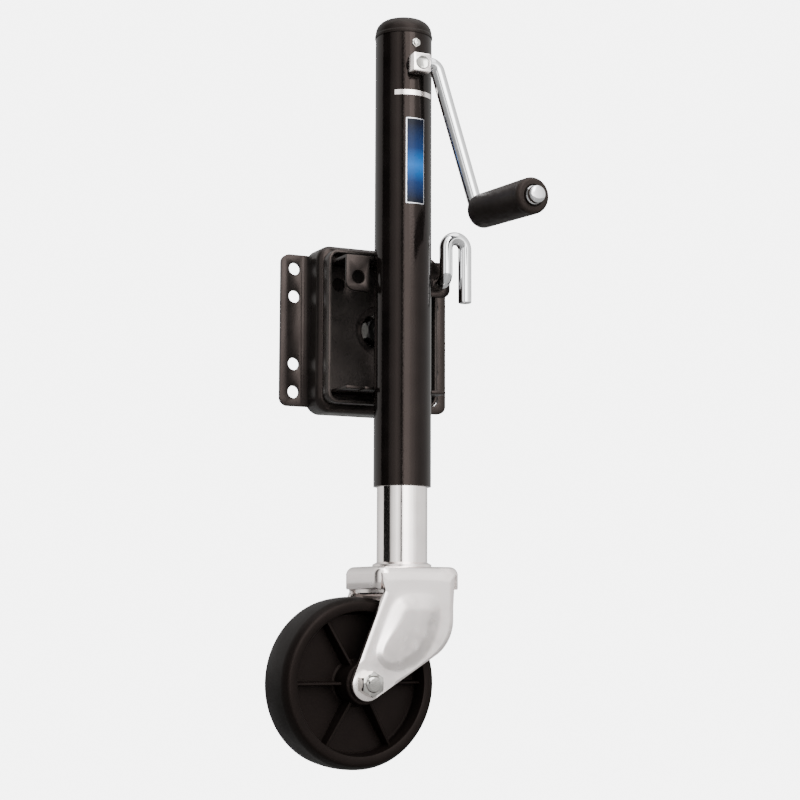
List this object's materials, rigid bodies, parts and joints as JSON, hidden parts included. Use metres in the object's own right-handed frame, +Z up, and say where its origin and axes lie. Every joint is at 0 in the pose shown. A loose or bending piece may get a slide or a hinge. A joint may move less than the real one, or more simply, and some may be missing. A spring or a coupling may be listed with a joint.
{
  "type": "trailer tongue jack",
  "caption": "Swivel-mount trailer tongue jack: tube with side-wind crank, screw-driven inner tube, caster wheel, J-handled pull pin and bolt-on frame bracket.",
  "frame": {"origin": "centre of the frame bracket's bolt pattern, on the face that meets the trailer's frame rail", "axes": "+Y along the bolts into the trailer, +Z up along the tube, +X to the right for a person facing the jack"},
  "size_m": [0.2087, 0.2325, 0.663],
  "materials": {
    "black_powder": "gloss black powder coat",
    "black_bracket": "satin-gloss black powder coat",
    "cap_plastic": "moulded black plastic",
    "zinc_plate": "bright zinc plate, warm tint",
    "zinc_hardware": "bright zinc plated fasteners",
    "chrome": "polished chrome plate",
    "dark_steel": "oiled black steel",
    "machined_steel": "machined steel",
    "bronze": "sintered bronze",
    "grip_plastic": "satin black moulded grip",
    "wheel_plastic": "matt black moulded wheel",
    "label": "blue printed label with a silver border"
  },
  "bodies": {
    "mount": {"frame_bracket": "black_bracket", "pivot_bolt": "dark_steel", "pivot_washer_front": "zinc_hardware", "pivot_washer_rear": "zinc_hardware", "pivot_nut": "zinc_hardware"},
    "jack": {"swivel_tray": "black_bracket", "pin_shelf": "black_bracket", "lower_shelf": "black_bracket", "outer_tube": "black_powder", "top_cap": "cap_plastic", "grease_fitting": "zinc_hardware", "label": "label", "bearing_plate": "zinc_plate", "shaft_bushing_front": "bronze", "shaft_bushing_rear": "bronze", "pin_spring": "machined_steel"},
    "crank": {"crank_shaft": "machined_steel", "shaft_clip": "dark_steel", "pinion": "machined_steel", "pinion_pin": "dark_steel", "crank_hub": "zinc_plate", "crank_arm": "chrome", "grip_cap": "chrome"},
    "grip": {"crank_grip": "grip_plastic"},
    "screw": {"driven_gear": "machined_steel", "gear_pin": "dark_steel", "lift_screw": "machined_steel", "bearing_races": "machined_steel", "bearing_balls": "chrome", "thrust_washer": "bronze"},
    "leg": {"inner_tube": "zinc_plate", "leg_collar": "zinc_plate", "leg_plug": "machined_steel", "screw_nut": "bronze", "kingpin": "machined_steel", "kingpin_race": "machined_steel", "kingpin_nut": "zinc_hardware"},
    "caster": {"fork": "zinc_plate", "caster_balls": "chrome", "axle_bolt": "zinc_hardware", "axle_nut": "zinc_hardware", "axle_washers": "zinc_hardware"},
    "wheel": {"wheel": "wheel_plastic", "wheel_sleeve": "machined_steel"},
    "pull_pin": {"pull_pin": "chrome", "pin_washer": "zinc_hardware", "pin_cotter": "zinc_hardware"}
  },
  "joints": [
    {"name": "swing", "type": "hinge", "parent": "mount", "child": "jack", "pos_m": [0, -0.03, 0], "axis": [0, 1, 0], "range_deg": [0, 90]},
    {"name": "crank_turn", "type": "hinge", "parent": "jack", "child": "crank", "pos_m": [0, -0.1173, 0.2277], "axis": [0, 1, 0], "range_deg": [-5480, 15950]},
    {"name": "grip_spin", "type": "hinge", "parent": "crank", "child": "grip", "pos_m": [0.0538, -0.17523, 0.09448], "axis": [0, 0.9986, 0.0523], "continuous": true},
    {"name": "screw_spin", "type": "hinge", "parent": "jack", "child": "screw", "pos_m": [0, -0.0843, 0.1542], "axis": [0, 0, 1], "range_deg": [-10634, 3654]},
    {"name": "leg_lift", "type": "slide", "parent": "jack", "child": "leg", "axis": [0, 0, 1], "range_m": [-0.1877, 0.0646]},
    {"name": "caster_swivel", "type": "hinge", "parent": "leg", "child": "caster", "pos_m": [0, -0.0843, -0.2208], "axis": [0, 0, 1], "continuous": true},
    {"name": "wheel_roll", "type": "hinge", "parent": "caster", "child": "wheel", "pos_m": [-0.05088, -0.08786, -0.3148], "axis": [0.0698, -0.9976, 0], "continuous": true},
    {"name": "pin_engage", "type": "slide", "parent": "jack", "child": "pull_pin", "axis": [0, 1, 0], "range_m": [0, 0.006], "deforming": ["pin_spring"]}
  ],
  "couplings": [
    {"joint": "screw_spin", "follows": "crank_turn", "ratio": -0.66667},
    {"joint": "leg_lift", "follows": "crank_turn", "m_per_rad": -0.00067376}
  ]
}
